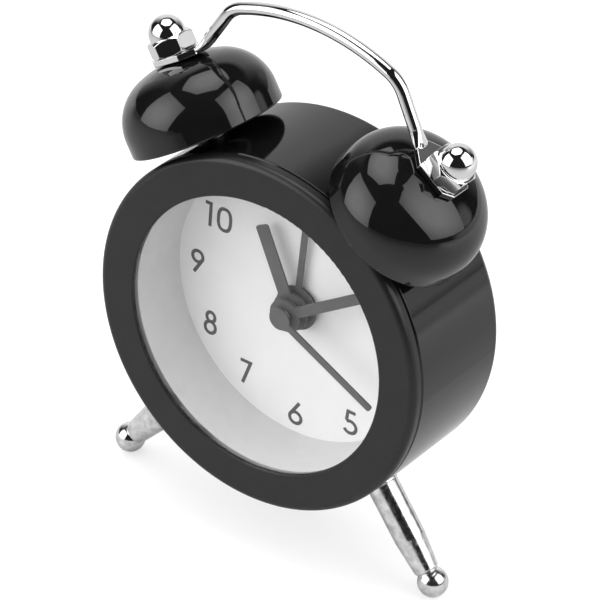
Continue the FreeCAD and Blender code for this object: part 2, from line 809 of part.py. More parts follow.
def alarm_switch():
    """Slide switch at the off end of its travel: a blade inside the cover, a nub through the slot."""
    middle = -switch_travel / 2
    half_nub = switch_nub_length / 2
    half_blade = half_nub + switch_blade_overlap
    blade = block(middle - half_blade, middle + half_blade,
                  cover_front + door_gap / 2, cover_front + switch_blade_thickness,
                  switch_z - switch_nub_width + door_gap, switch_z + switch_nub_width - door_gap)
    nub = block(middle - half_nub, middle + half_nub,
                cover_front + switch_blade_thickness, cover_back + switch_nub_height,
                switch_z - switch_nub_width / 2, switch_z + switch_nub_width / 2)
    return fused([blade, nub])


def cover_screws():
    screws = []
    for x, z in screw_places():
        shank = disc(screw_radius, inside_front + movement_wall + screw_end_room,
                     cover_back - screw_head_height, x, z)
        head = disc(screw_head_radius, cover_back - screw_head_height, cover_back, x, z)
        slot = block(x - screw_head_radius, x + screw_head_radius,
                     cover_back - screw_slot_depth, cover_back + 1,
                     z - screw_slot_width / 2, z + screw_slot_width / 2)
        screws.append(fused([shank, head]).cut(slot))
    return screws


# ---------------------------------------------------------------- bells and handle
def bell_outline(inset):
    """Points of the bell's curve: skirt, shoulder and crown, moved inwards by the inset."""
    shoulder_x = bell_radius - bell_shoulder
    crown_z = bell_top - bell_crown
    rise = math.sqrt((bell_crown - bell_shoulder) ** 2 - shoulder_x ** 2)
    shoulder_z = crown_z + rise
    tilt = math.degrees(math.atan2(rise, shoulder_x))
    shoulder = rounded((shoulder_x, shoulder_z), bell_shoulder - inset, 0, tilt)
    crown = rounded((0, crown_z), bell_crown - inset, tilt, 90)
    return shoulder_z, shoulder, crown


def bell():
    shoulder_z, shoulder, crown = bell_outline(0)
    edge_round = rounded((bell_radius - bell_edge, bell_rim + bell_edge), bell_edge, -90, 0)
    outer = turned_upright((0, bell_rim), [
        (bell_radius - bell_edge, bell_rim), edge_round, (bell_radius, shoulder_z), shoulder, crown])
    shoulder_z, shoulder, crown = bell_outline(bell_wall)
    mouth = bell_radius - bell_wall
    inner = turned_upright((0, bell_rim - 1), [
        (mouth, bell_rim - 1), (mouth, shoulder_z), shoulder, crown])
    hole = Part.makeCylinder(stud_radius + fixed_gap, 4 * bell_wall, Vector(0, 0, bell_top - 2 * bell_wall))
    return outer.cut(inner).cut(hole)


def bell_stud():
    length = plate_top + nut_bore_depth - nut_dome_gap - stud_bottom
    return Part.makeCylinder(stud_radius, length, Vector(0, 0, stud_bottom))


def bell_spacer():
    bottom = case_radius + seat_gap
    inner_crown = bell_crown - bell_wall
    top = bell_top - bell_crown + math.sqrt(inner_crown ** 2 - spacer_radius ** 2) - seat_gap
    tube = Part.makeCylinder(spacer_radius, top - bottom, Vector(0, 0, bottom))
    return tube.cut(Part.makeCylinder(stud_radius + fixed_gap, top - bottom, Vector(0, 0, bottom)))


def acorn_nut():
    hex_top = plate_top + nut_hex_height
    corner = nut_across_flats / math.sqrt(3)
    flats = nut_across_flats / 2
    prism = hex_prism(nut_across_flats, plate_top, hex_top, nut_turn)
    envelope = turned_upright((0, plate_top), [
        (flats, plate_top), (corner, plate_top + nut_edge), (corner, hex_top - nut_edge),
        (flats, hex_top), (0, hex_top)])
    neck = Part.makeCylinder(nut_dome_radius, nut_neck_height + nut_hex_height / 2,
                             Vector(0, 0, hex_top - nut_hex_height / 2))
    dome = Part.makeSphere(nut_dome_radius, Vector(0, 0, nut_dome_centre))
    upper = Part.makeCylinder(nut_dome_radius + 1, nut_dome_radius + 1, Vector(0, 0, nut_dome_centre))
    nut = fused([prism.common(envelope), neck, dome.common(upper)])
    return nut.cut(Part.makeCylinder(stud_radius + seat_gap, nut_bore_depth, Vector(0, 0, plate_top)))


def inner_nut(stud, across_flats):
    top = math.sqrt(case_inner_radius ** 2 - across_flats ** 2 / 3) - inner_nut_gap
    prism = hex_prism(across_flats, top - inner_nut_height, top)
    bore_start = Vector(0, 0, top - 2 * inner_nut_height)
    return prism.cut(Part.makeCylinder(stud + seat_gap, 3 * inner_nut_height, bore_start))


def handle_points():
    """Corner points and centres of the right half of the handle's middle line, in X and Z."""
    lean = math.radians(bell_lean)
    plate_middle = bell_top + plate_thickness / 2
    along = Vector(math.cos(lean), 0, -math.sin(lean))
    foot = Vector(math.sin(lean), 0, math.cos(lean)) * plate_middle - along * plate_inner_reach
    leg = math.radians(handle_leg_lean)
    up = Vector(-math.sin(leg), 0, math.cos(leg))
    inward = Vector(-math.cos(leg), 0, -math.sin(leg))
    arch_centre = Vector(0, 0, arch_height - arch_radius)
    start = foot + inward * bend_radius - arch_centre
    reach = arch_radius - bend_radius
    dot = start.dot(up)
    run = -dot + math.sqrt(dot ** 2 - start.dot(start) + reach ** 2)
    bend_centre = foot + up * run + inward * bend_radius
    bend_start = foot + up * run
    outward = (bend_centre - arch_centre).normalize()
    bend_end = arch_centre + outward * arch_radius
    bend_middle = bend_centre + (outward - inward).normalize() * bend_radius
    return foot, up, along, bend_start, bend_middle, bend_end


def mirrored(point):
    return Vector(-point.x, point.y, point.z)


def ellipse_wire(centre, half_width, half_thickness, direction):
    """Ellipse across a direction in the XZ plane, its long axis along the depth."""
    curve = Part.Ellipse(Vector(0, 0, 0), half_width, half_thickness)
    wire = Part.Wire([curve.toShape()])
    side = direction.cross(Vector(0, 1, 0))
    turn = Rotation(Vector(0, 1, 0), side, direction, "ZXY")
    wire.Placement = Placement(centre, turn)
    return wire


def handle_plate():
    """Flattened end with clipped corners, lying on top of a bell about its stud."""
    half = plate_half_width
    neck = plate_neck_half_width
    inner = plate_neck_overlap - plate_inner_reach
    outer = plate_outer_reach
    shoulder = inner + half - neck + plate_shoulder_run
    corners = [(inner, -neck), (shoulder, -half), (outer - plate_clip, -half), (outer, -half + plate_clip),
               (outer, half - plate_clip), (outer - plate_clip, half), (shoulder, half), (inner, neck)]
    points = [Vector(x, y, bell_top) for x, y in corners]
    plate = Part.Face(Part.makePolygon(points + [points[0]])).extrude(Vector(0, 0, plate_thickness))
    hole_start = Vector(0, 0, bell_top - plate_thickness)
    hole = Part.makeCylinder(stud_radius + fixed_gap, 3 * plate_thickness, hole_start)
    return plate.cut(hole)


def handle():
    foot, up, along, bend_start, bend_middle, bend_end = handle_points()
    wire_start = foot + up * flat_run
    top = Vector(0, 0, arch_height)
    path = Part.Wire([
        Part.makeLine(mirrored(wire_start), mirrored(bend_start)),
        Part.Arc(mirrored(bend_start), mirrored(bend_middle), mirrored(bend_end)).toShape(),
        Part.Arc(mirrored(bend_end), top, bend_end).toShape(),
        Part.Arc(bend_end, bend_middle, bend_start).toShape(),
        Part.makeLine(bend_start, wire_start)])
    section = Part.Wire([Part.makeCircle(wire_radius, mirrored(wire_start), mirrored(up))])
    pieces = [path.makePipeShell([section], True, True)]
    inset = wire_radius - flat_step
    flat_middle = foot + up * flat_run * flat_middle_share
    flat = Part.makeLoft([
        ellipse_wire(wire_start + up * wire_radius, inset + flat_step / 4, inset, up),
        ellipse_wire(wire_start, inset + flat_step / 2, inset, up),
        ellipse_wire(flat_middle, flat_middle_half_width, flat_middle_half_thickness, up),
        ellipse_wire(foot + along, plate_neck_half_width, plate_thickness / 2 - flat_step, along)], True)
    pieces.append(flat)
    pieces.append(flat.mirror(Vector(0, 0, 0), Vector(1, 0, 0)))
    right_plate = on_stud(handle_plate(), bell_lean, 0)
    pieces.append(right_plate)
    pieces.append(right_plate.mirror(Vector(0, 0, 0), Vector(1, 0, 0)))
    whole = turn_about_depth(fused(pieces), top_turn)
    whole.translate(Vector(0, bell_depth, 0))
    return whole


# ---------------------------------------------------------------- legs
def leg(reach):
    """Turned leg with a ball end; reach is from the drum's axis to the ball's centre."""
    top = case_radius + leg_washer_thickness
    waist = top + leg_waist_share * (reach - top)
    neck_height = reach - math.sqrt(leg_ball_radius ** 2 - leg_neck_radius ** 2)
    end = neck_height - leg_end_cone
    ball_start = math.degrees(math.asin((neck_height - reach) / leg_ball_radius))
    ball = rounded((0, reach), leg_ball_radius, ball_start, 90)
    bottom = case_inner_radius - inner_nut_height - leg_stud_end
    return turned_upright((0, bottom), [
        (leg_stud_radius, bottom),
        (leg_stud_radius, top),
        (leg_top_radius - leg_edge, top),
        (leg_top_radius, top + leg_edge),
        (leg_waist_radius, waist),
        (leg_end_radius, end),
        (leg_neck_radius, neck_height),
        ball])


def leg_washer():
    bottom = case_radius + seat_gap
    height = leg_washer_thickness - seat_gap
    washer = Part.makeCylinder(leg_washer_radius, height, Vector(0, 0, bottom))
    return washer.cut(Part.makeCylinder(leg_stud_radius + fixed_gap, height, Vector(0, 0, bottom)))


# ---------------------------------------------------------------- assembly
def all_parts():
    rear_reach = foot_drop - leg_ball_radius
    right_leg, left_leg, _ = leg_set(leg(leg_reach))
    right_bell, left_bell = bell_pair(bell())
    parts = {
        "bezel": bezel(),
        "case_drum": case_drum(),
        "lens": lens(),
        "dial_ring": dial_ring(),
        "dial": dial(),
        "alarm_wheel": alarm_wheel(),
        "hour_wheel": hour_wheel(),
        "minute_wheel": minute_wheel(),
        "second_wheel": second_wheel(),
        "alarm_spindle": alarm_spindle(),
        "time_spindle": time_spindle(),
        "motion_wheel": motion_wheel(),
        "drive_wheel": drive_wheel(),
        "rotor": rotor(),
        "movement_front": movement_front_half(),
        "movement_rear": movement_rear_half(),
        "circuit_board": circuit_board(),
        "quartz_crystal": quartz_crystal(),
        "stator": stator(),
        "coil": coil(),
        "sounder": sounder(),
        "battery": battery(),
        "contact_positive": contact_plate(1),
        "contact_negative": contact_plate(-1),
        "back_cover": back_cover(),
        "battery_door": battery_door(),
        "time_knob": knob(-spindle_x),
        "alarm_knob": knob(spindle_x),
        "alarm_switch": alarm_switch(),
        "cover_screws": Part.makeCompound(cover_screws()),
        "bell_right": right_bell,
        "bell_left": left_bell,
        "bell_studs": Part.makeCompound(bell_pair(bell_stud())),
        "bell_spacers": Part.makeCompound(bell_pair(bell_spacer())),
        "acorn_nuts": Part.makeCompound(bell_pair(acorn_nut())),
        "bell_nuts": Part.makeCompound(bell_pair(inner_nut(stud_radius, nut_across_flats))),
        "handle": handle(),
        "leg_right": right_leg,
        "leg_left": left_leg,
        "leg_rear": on_stud(leg(rear_reach), 180, rear_leg_depth),
        "leg_washers": Part.makeCompound(leg_set(leg_washer())),
        "leg_nuts": Part.makeCompound(leg_set(inner_nut(leg_stud_radius, leg_nut_across_flats))),
    }
    parts.update(make_hands())
    return parts


def main():
    os.makedirs("parts", exist_ok=True)
    for name, shape in all_parts().items():
        placed = shape.copy()
        placed.translate(frame_shift)
        placed.exportStep("parts/" + name + ".step")
        print(name, "solids", len(placed.Solids), "volume %.2f" % placed.Volume, "valid", placed.isValid())


main()
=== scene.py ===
import math

import bmesh
import bpy
from mathutils import Matrix, Vector


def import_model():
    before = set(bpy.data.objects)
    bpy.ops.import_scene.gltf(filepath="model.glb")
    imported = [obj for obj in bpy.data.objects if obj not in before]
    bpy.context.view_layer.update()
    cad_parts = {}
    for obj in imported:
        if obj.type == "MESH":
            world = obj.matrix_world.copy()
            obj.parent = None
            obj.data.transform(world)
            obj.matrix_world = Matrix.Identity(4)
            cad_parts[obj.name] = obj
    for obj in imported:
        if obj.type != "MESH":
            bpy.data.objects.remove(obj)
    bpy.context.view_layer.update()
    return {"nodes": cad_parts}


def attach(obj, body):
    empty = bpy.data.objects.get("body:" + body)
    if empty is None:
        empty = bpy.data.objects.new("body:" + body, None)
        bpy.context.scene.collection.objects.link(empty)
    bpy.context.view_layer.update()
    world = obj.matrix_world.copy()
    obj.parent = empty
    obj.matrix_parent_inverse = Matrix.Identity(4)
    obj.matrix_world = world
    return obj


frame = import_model()

# The clock's own axes: the drum's axis runs along +Y, the bezel's front is at depth 0, X is right and Z
# is up. Sizes of the print are in millimetres in those axes, and SHIFT takes them to the row frame.
MM = 0.001
SHIFT = Vector((0.0, -12.9, 43.0326))
CASE_RADIUS = 32.0

nodes = frame["nodes"]

# Bands of the noise texture's value that colour and roughness are spread over
CLOUD_BAND = (0.3, 0.7)
GRAIN_BAND = (0.25, 0.75)
BEVEL_SAMPLES = 8


def at(x, y, z):
    """Point in metres in the row frame."""
    return (Vector((x, y, z)) + SHIFT) * MM


# ---------------------------------------------------------------- materials
def new_material(name):
    """Material with a Principled shader, and the object coordinates that its textures use."""
    material = bpy.data.materials.new(name)
    material.use_nodes = True
    tree = material.node_tree
    tree.nodes.clear()
    output = tree.nodes.new("ShaderNodeOutputMaterial")
    shader = tree.nodes.new("ShaderNodeBsdfPrincipled")
    tree.links.new(shader.outputs["BSDF"], output.inputs["Surface"])
    where = tree.nodes.new("ShaderNodeTexCoord")
    return material, tree, shader, where.outputs["Object"]


def noise(tree, where, size, detail=2.0, rough=0.5, stretch=(1, 1, 1)):
    """Noise whose features are about size millimetres across."""
    node = tree.nodes.new("ShaderNodeTexNoise")
    node.inputs["Scale"].default_value = 1.0 / (size * MM)
    node.inputs["Detail"].default_value = detail
    node.inputs["Roughness"].default_value = rough
    if tuple(stretch) != (1, 1, 1):
        mapping = tree.nodes.new("ShaderNodeMapping")
        mapping.inputs["Scale"].default_value = stretch
        tree.links.new(where, mapping.inputs["Vector"])
        where = mapping.outputs["Vector"]
    tree.links.new(where, node.inputs["Vector"])
    return node.outputs["Fac"]


def spread(tree, value, low, high, to_low, to_high):
    """Value carried from one range to another and held at its ends."""
    node = tree.nodes.new("ShaderNodeMapRange")
    node.inputs["From Min"].default_value = low
    node.inputs["From Max"].default_value = high
    node.inputs["To Min"].default_value = to_low
    node.inputs["To Max"].default_value = to_high
    tree.links.new(value, node.inputs["Value"])
    return node.outputs["Result"]


def toward(tree, vector, direction, low, high, to_low, to_high):
    """Value that grows as the vector turns toward a direction."""
    node = tree.nodes.new("ShaderNodeVectorMath")
    node.operation = "DOT_PRODUCT"
    tree.links.new(vector, node.inputs[0])
    node.inputs[1].default_value = direction
    return spread(tree, node.outputs["Value"], low, high, to_low, to_high)


def combine(tree, operation, first, second):
    """Arithmetic on two values, such as ADD or MULTIPLY."""
    node = tree.nodes.new("ShaderNodeMath")
    node.operation = operation
    tree.links.new(first, node.inputs[0])
    tree.links.new(second, node.inputs[1])
    return node.outputs["Value"]


def chain(tree, operation, values):
    """Arithmetic on several values, one after another."""
    result = values[0]
    for value in values[1:]:
        result = combine(tree, operation, result, value)
    return result


def mix(tree, factor, first, second, data_type):
    """First value where the factor is 0, second where it is 1; data_type is FLOAT or RGBA."""
    node = tree.nodes.new("ShaderNodeMix")
    node.data_type = data_type
    tree.links.new(factor, node.inputs["Factor"])
    tree.links.new(first, node.inputs["A"])
    tree.links.new(second, node.inputs["B"])
    return node.outputs["Result"]


def length(tree, vector):
    """Length of a vector, here the distance from an object's origin."""
    node = tree.nodes.new("ShaderNodeVectorMath")
    node.operation = "LENGTH"
    tree.links.new(vector, node.inputs[0])
    return node.outputs["Value"]


def tint(tree, value, dark, light):
    """Colour between two, by a value from 0 to 1."""
    node = tree.nodes.new("ShaderNodeMix")
    node.data_type = "RGBA"
    node.inputs["A"].default_value = (*dark, 1)
    node.inputs["B"].default_value = (*light, 1)
    tree.links.new(value, node.inputs["Factor"])
    return node.outputs["Result"]


def bump(tree, shader, height, strength, distance, edge):
    """Fine relief; edge is the radius in millimetres to which sharp edges look rounded."""
    node = tree.nodes.new("ShaderNodeBump")
    node.inputs["Strength"].default_value = strength
    node.inputs["Distance"].default_value = distance * MM
    tree.links.new(height, node.inputs["Height"])
    if edge:
        rounded = tree.nodes.new("ShaderNodeBevel")
        rounded.samples = BEVEL_SAMPLES
        rounded.inputs["Radius"].default_value = edge * MM
        tree.links.new(rounded.outputs["Normal"], node.inputs["Normal"])
    tree.links.new(node.outputs["Normal"], shader.inputs["Normal"])


def surface(name, dark, light, rough, grain, metallic=0.0, specular=0.5, mottle=3.0, depth=0.01,
            strength=0.2, stretch=(1, 1, 1), edge=0.0):
    """Mottled colour, uneven roughness and fine grain; mottle, grain, depth and edge are in millimetres."""
    material, tree, shader, where = new_material(name)
    cloud = noise(tree, where, mottle, detail=3.0, rough=0.55)
    colour = tint(tree, spread(tree, cloud, *CLOUD_BAND, 0, 1), dark, light)
    tree.links.new(colour, shader.inputs["Base Color"])
    fine = noise(tree, where, grain, detail=3.0, rough=0.6, stretch=stretch)
    tree.links.new(spread(tree, fine, *GRAIN_BAND, *rough), shader.inputs["Roughness"])
    shader.inputs["Metallic"].default_value = metallic
    shader.inputs["Specular IOR Level"].default_value = specular
    bump(tree, shader, fine, strength, depth, edge)
    return material


def grey(value):
    return (value, value, value)


drum_black = surface("drum_black_lacquer", grey(0.0045), grey(0.006), (0.05, 0.09), 0.6, depth=0.002,
                     strength=0.10, edge=0.2)
satin_bezel = surface("satin_black_moulding", grey(0.009), grey(0.0115), (0.30, 0.38), 0.22, specular=0.36,
                      depth=0.004)
gloss_black = surface("gloss_black_lacquer", grey(0.0045), grey(0.006), (0.03, 0.06), 1.2, depth=0.003,
                      strength=0.05)
chrome = surface("bright_chrome", grey(0.74), grey(0.80), (0.03, 0.08), 1.6, metallic=1.0, depth=0.003,
                 strength=0.06, edge=0.22)
leg_chrome = surface("worn_chrome", grey(0.54), grey(0.96), (0.05, 0.30), 0.8, metallic=1.0, mottle=1.5,
                     depth=0.010, strength=0.35, edge=0.15)
white_wall = surface("white_inner_ring", grey(0.66), grey(0.70), (0.42, 0.5), 0.3, depth=0.004)
dial_card = surface("white_dial_card", grey(0.87), grey(0.91), (0.55, 0.65), 0.12, mottle=6.0, depth=0.004,
                    strength=0.3)
hand_paint = surface("hand_grey_paint", grey(0.085), grey(0.1), (0.4, 0.5), 0.2, depth=0.003)
gear_plastic = surface("natural_acetal", (0.72, 0.70, 0.63), (0.78, 0.76, 0.70), (0.35, 0.45), 0.2,
                       depth=0.004)
movement_plastic = surface("movement_moulding", grey(0.035), grey(0.045), (0.45, 0.6), 0.15, depth=0.008)
back_plastic = surface("back_moulding", grey(0.020), grey(0.026), (0.48, 0.62), 0.18, depth=0.012,
                       strength=0.45)
board_green = surface("board_green", (0.02, 0.12, 0.05), (0.03, 0.16, 0.07), (0.3, 0.4), 0.4)
# Painted shade: the bell spacers are steel, coloured near black here because they sit in the shade under the
# bells.
spacer_painted_shade_steel = surface("spacer_steel_painted_shade", grey(0.05), grey(0.08), (0.3, 0.4), 0.3, metallic=1.0, depth=0.006)
steel = surface("zinc_steel", grey(0.52), grey(0.62), (0.25, 0.4), 0.3, metallic=1.0, depth=0.006)
copper = surface("copper_winding", (0.5, 0.2, 0.08), (0.65, 0.3, 0.12), (0.25, 0.4), 0.2, metallic=1.0,
                 stretch=(8, 0.3, 0.3))
sounder_black = surface("sounder_black", grey(0.02), grey(0.03), (0.4, 0.5), 0.3)
battery_wrap = surface("battery_wrap", grey(0.22), grey(0.28), (0.25, 0.35), 0.8, metallic=0.6)


def glass_material():
    """Thin clear plastic: nearly see-through, with a faint gloss."""
    material, tree, shader, where = new_material("clear_lens")
    tree.links.new(tint(tree, noise(tree, where, 8.0), grey(0.30), grey(0.36)), shader.inputs["Base Color"])
    uneven = spread(tree, noise(tree, where, 2.0), *CLOUD_BAND, 0.02, 0.04)
    tree.links.new(uneven, shader.inputs["Roughness"])
    shader.inputs["Alpha"].default_value = 0.04
    shader.inputs["IOR"].default_value = 1.49
    return material


lens_clear = glass_material()

FINISHES = {
    "case_drum": drum_black, "bezel": satin_bezel, "lens": lens_clear, "dial_ring": white_wall,
    "dial": dial_card, "second_hand": hand_paint, "minute_hand": hand_paint, "hour_hand": hand_paint,
    "alarm_hand": hand_paint, "movement_front": movement_plastic, "movement_rear": movement_plastic,
    "circuit_board": board_green, "coil": copper, "sounder": sounder_black, "battery": battery_wrap,
    "back_cover": back_plastic, "battery_door": back_plastic, "time_knob": back_plastic,
    "alarm_knob": back_plastic, "alarm_switch": back_plastic, "bell_left": gloss_black,
    "bell_right": gloss_black, "acorn_nuts": chrome, "handle": chrome, "leg_left": leg_chrome,
    "leg_right": leg_chrome, "leg_rear": leg_chrome, "leg_washers": chrome}
for name in ("alarm_wheel", "hour_wheel", "minute_wheel", "second_wheel", "alarm_spindle", "time_spindle",
             "motion_wheel", "drive_wheel"):
    FINISHES[name] = gear_plastic
for name in ("quartz_crystal", "stator", "rotor", "contact_positive", "contact_negative", "cover_screws",
             "bell_studs", "bell_nuts", "leg_nuts"):
    FINISHES[name] = steel
# The bell spacers take the near-black steel: painted shade for the shade under the bells.
FINISHES["bell_spacers"] = spacer_painted_shade_steel
for name, node in nodes.items():
    for slot in node.material_slots:
        slot.material = FINISHES[name]


# ---------------------------------------------------------------- numerals
# Depth of the dial's face, radius of the ring of numerals, its turn in degrees, and the height of a numeral
DIAL_FRONT = 13.3
NUMERAL_RING = 21.5
NUMERAL_TURN = -1.5
NUMERAL_HEIGHT = 4.7
# Width of a stroke, how far the print stands proud, its thickness as a share of that, and the step
# between the strokes of a digit, which keeps them out of one plane
STROKE = 0.64
INK = 0.03
INK_SHARE = 0.9
INK_STEP = 0.004
# How far some numerals are set off the ring, to the right and up
PRINT_OFFSET = {5: (0.5, -0.1), 6: (0.1, 0.0), 7: (0.0, 0.95), 8: (0.3, -0.15), 10: (1.2, -0.6),
                11: (0.4, 0.0)}


def arc(cx, cz, rx, rz, start, end, steps=20, round_off=1.0):
    """Points of an ellipse's arc; angles in degrees from +X, anticlockwise. round_off under 1 squares it."""
    points = []
    for step in range(steps + 1):
        turn = math.radians(start + (end - start) * step / steps)
        across, rise = math.cos(turn), math.sin(turn)
        points.append((cx + rx * math.copysign(abs(across) ** round_off, across),
                       cz + rz * math.copysign(abs(rise) ** round_off, rise)))
    return points


# Width and strokes of each digit in a cell one unit high, as lines down the middle of each stroke
DIGITS = {
    "0": (0.62, [arc(0, 0.5, 0.27, 0.44, 90, 450, 48, 0.78)]),
    "1": (0.30, [[(-0.18, 0.93), (0.06, 0.93), (0.06, 0.0)]]),
    "2": (0.52, [arc(0, 0.70, 0.22, 0.24, 175, -35) + [(-0.22, 0.06), (0.25, 0.06)]]),
    "3": (0.50, [arc(-0.02, 0.73, 0.20, 0.21, 150, -80), arc(-0.02, 0.28, 0.23, 0.23, 80, -150)]),
    "4": (0.54, [[(0.12, 0.0), (0.12, 0.94), (-0.25, 0.25), (0.27, 0.25)]]),
    "5": (0.54, [[(0.20, 0.93), (-0.13, 0.93), (-0.17, 0.53)], arc(0.0, 0.30, 0.27, 0.25, 128, -150)]),
    "6": (0.54, [arc(0, 0.29, 0.25, 0.235, 0, 360, 40), [(0.13, 0.96), (-0.20, 0.42)]]),
    "7": (0.50, [[(-0.23, 0.94), (0.22, 0.94), (-0.08, 0.0)]]),
    "8": (0.50, [arc(0, 0.73, 0.18, 0.20, 0, 360, 40), arc(0, 0.29, 0.23, 0.24, 0, 360, 40)]),
    "9": (0.52, [arc(0, 0.71, 0.23, 0.23, 0, 360, 40), [(-0.13, 0.03), (0.19, 0.58)]])}
DIGIT_GAP = 0.22
CLOSED = 1e-6
MITRE_LIMIT = 0.35


def ribbon(mesh, points, half, place):
    """Flat band of constant width along the points, with mitred corners."""
    closed = math.dist(points[0], points[-1]) < CLOSED
    if closed:
        points = points[:-1]
    count = len(points)
    sides = []
    for index, (x, z) in enumerate(points):
        before = points[index - 1] if index or closed else None
        after = points[(index + 1) % count] if index < count - 1 or closed else None
        ways = []
        if before:
            ways.append((Vector((x, z)) - Vector(before)).normalized())
        if after:
            ways.append((Vector(after) - Vector((x, z))).normalized())
        way = sum(ways, Vector((0, 0))).normalized()
        normal = Vector((-way.y, way.x))
        reach = half / max(MITRE_LIMIT, normal.dot(Vector((-ways[0].y, ways[0].x))))
        sides.append((place(x + normal.x * reach, z + normal.y * reach),
                      place(x - normal.x * reach, z - normal.y * reach)))
    pairs = [(mesh.verts.new(a), mesh.verts.new(b)) for a, b in sides]
    last = count if closed else count - 1
    for index in range(last):
        a, b = pairs[index], pairs[(index + 1) % count]
        mesh.faces.new((a[0], b[0], b[1], a[1]))


def make_object(name, mesh, material):
    """Object in the scene from a finished bmesh, flat shaded."""
    data = bpy.data.meshes.new(name)
    mesh.to_mesh(data)
    mesh.free()
    data.materials.append(material)
    piece = bpy.data.objects.new(name, data)
    bpy.context.scene.collection.objects.link(piece)
    return piece


ink = surface("numeral_ink", grey(0.07), grey(0.09), (0.5, 0.6), 0.15)


def numerals():
    """Printed numbers 1 to 12, one piece each, standing a hair off the dial."""
    for hour in range(1, 13):
        mesh = bmesh.new()
        text = str(hour)
        widths = [DIGITS[digit][0] for digit in text]
        total = sum(widths) + DIGIT_GAP * (len(text) - 1)
        heading = math.radians(30 * hour + NUMERAL_TURN)
        right, up = PRINT_OFFSET.get(hour, (0.0, 0.0))
        centre = (NUMERAL_RING * math.sin(heading) + right, NUMERAL_RING * math.cos(heading) + up)
        left = -total / 2
        for digit, width in zip(text, widths):
            for layer, stroke in enumerate(DIGITS[digit][1]):
                def place(x, z, offset=left + width / 2, layer=layer):
                    return at(centre[0] + (x + offset) * NUMERAL_HEIGHT, DIAL_FRONT - INK - INK_STEP * layer,
                              centre[1] + (z - 0.5) * NUMERAL_HEIGHT)
                ribbon(mesh, stroke, STROKE / NUMERAL_HEIGHT / 2, place)
            left += width + DIGIT_GAP
        bmesh.ops.recalc_face_normals(mesh, faces=mesh.faces)
        made = bmesh.ops.extrude_face_region(mesh, geom=mesh.faces[:])
        moved = [item for item in made["geom"] if isinstance(item, bmesh.types.BMVert)]
        bmesh.ops.translate(mesh, verts=moved, vec=Vector((0, INK * MM * INK_SHARE, 0)))
        bmesh.ops.recalc_face_normals(mesh, faces=mesh.faces)
        piece = make_object(f"numeral_{hour:02d}", mesh, ink)
        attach(piece, "case")


numerals()


# ---------------------------------------------------------------- floor, light and camera
UP = (0, 0, 1)
BACK = (0, 1, 0)

# Half the floor's width in metres
FLOOR_HALF = 1.3
# Floor as the clock mirrors it, with painted shade and painted light: a near and a far distance in metres,
# and the reflectance at each. The back part is painted shade, greyer near the clock; the under part is a
# painted lighter patch close under the clock, added to the back part; the front part is painted shade,
# greyer toward the front, and turns into the back part over TURNOVER, in metres along Y.
FLOOR_FRONT_PAINTED_SHADE = (0.10, 0.50, 0.50, 0.20)
FLOOR_BACK_PAINTED_SHADE = (0.15, 0.50, 0.46, 0.76)
FLOOR_UNDER_PAINTED_LIGHT = (0.04, 0.09, 0.18, 0.0)
FLOOR_TURNOVER = (-0.06, 0.06)
# Floor as a picture shows it: its reflectance, and how much it shines by itself
FLOOR_SEEN = (0.41, 0.42)
FLOOR_GLOW = 0.6


def floor_material():
    """Pale paper: white itself to the camera; as the clock mirrors it, painted shade greys it near the clock
    and toward the front, with a painted lighter patch close under the clock at the back.
    """
    material, tree, shader, where = new_material("pale_floor")
    cloud = noise(tree, where, 60.0)
    reach = length(tree, where)
    # Painted shade and painted light, for mirrors and bounced light only: greyer near the clock and toward
    # the front, lighter close under it at the back.
    front = spread(tree, reach, *FLOOR_FRONT_PAINTED_SHADE)
    back = combine(tree, "ADD", spread(tree, reach, *FLOOR_BACK_PAINTED_SHADE), spread(tree, reach, *FLOOR_UNDER_PAINTED_LIGHT))
    behind = toward(tree, where, BACK, *FLOOR_TURNOVER, 0, 1)
    mirrored_painted_shade = mix(tree, behind, front, back, "FLOAT")
    plain = tint(tree, cloud, grey(FLOOR_SEEN[0]), grey(FLOOR_SEEN[1]))
    seen = tree.nodes.new("ShaderNodeLightPath").outputs["Is Camera Ray"]
    shader.inputs["Emission Color"].default_value = (1, 1, 1, 1)
    tree.links.new(spread(tree, seen, 0, 1, 0, FLOOR_GLOW), shader.inputs["Emission Strength"])
    tree.links.new(mix(tree, seen, mirrored_painted_shade, plain, "RGBA"), shader.inputs["Base Color"])
    shader.inputs["Roughness"].default_value = 0.7
    shader.inputs["Specular IOR Level"].default_value = 0.2
    return material


def floor():
    """Square sheet on the plane that the clock stands on."""
    mesh = bmesh.new()
    bmesh.ops.create_grid(mesh, x_segments=8, y_segments=8, size=FLOOR_HALF)
    piece = make_object("floor", mesh, floor_material())


# Panels of light: the point that they face, in the clock's axes, and their distance from it in metres
SOFTBOX_TARGET = (0, 12, 10)
SOFTBOX_DISTANCE = 0.60
# Their radiance within the core's radius in metres, the share of it left at the edge, and the radius
# where that is reached, as a share of the panel's width
SOFTBOX_RADIANCE = 3.3
SOFTBOX_CORE = 0.10
SOFTBOX_EDGE = 0.5
SOFTBOX_FADE_SHARE = 0.62


def glow_material(name, width):
    """Light that is brightest in the panel's middle."""
    material = bpy.data.materials.new(name)
    material.use_nodes = True
    tree = material.node_tree
    tree.nodes.clear()
    output = tree.nodes.new("ShaderNodeOutputMaterial")
    glow = tree.nodes.new("ShaderNodeEmission")
    off_middle = length(tree, tree.nodes.new("ShaderNodeTexCoord").outputs["Object"])
    fading = spread(tree, off_middle, SOFTBOX_CORE, width * SOFTBOX_FADE_SHARE,
                    SOFTBOX_RADIANCE, SOFTBOX_RADIANCE * SOFTBOX_EDGE)
    tree.links.new(fading, glow.inputs["Strength"])
    tree.links.new(glow.outputs["Emission"], output.inputs["Surface"])
    return material


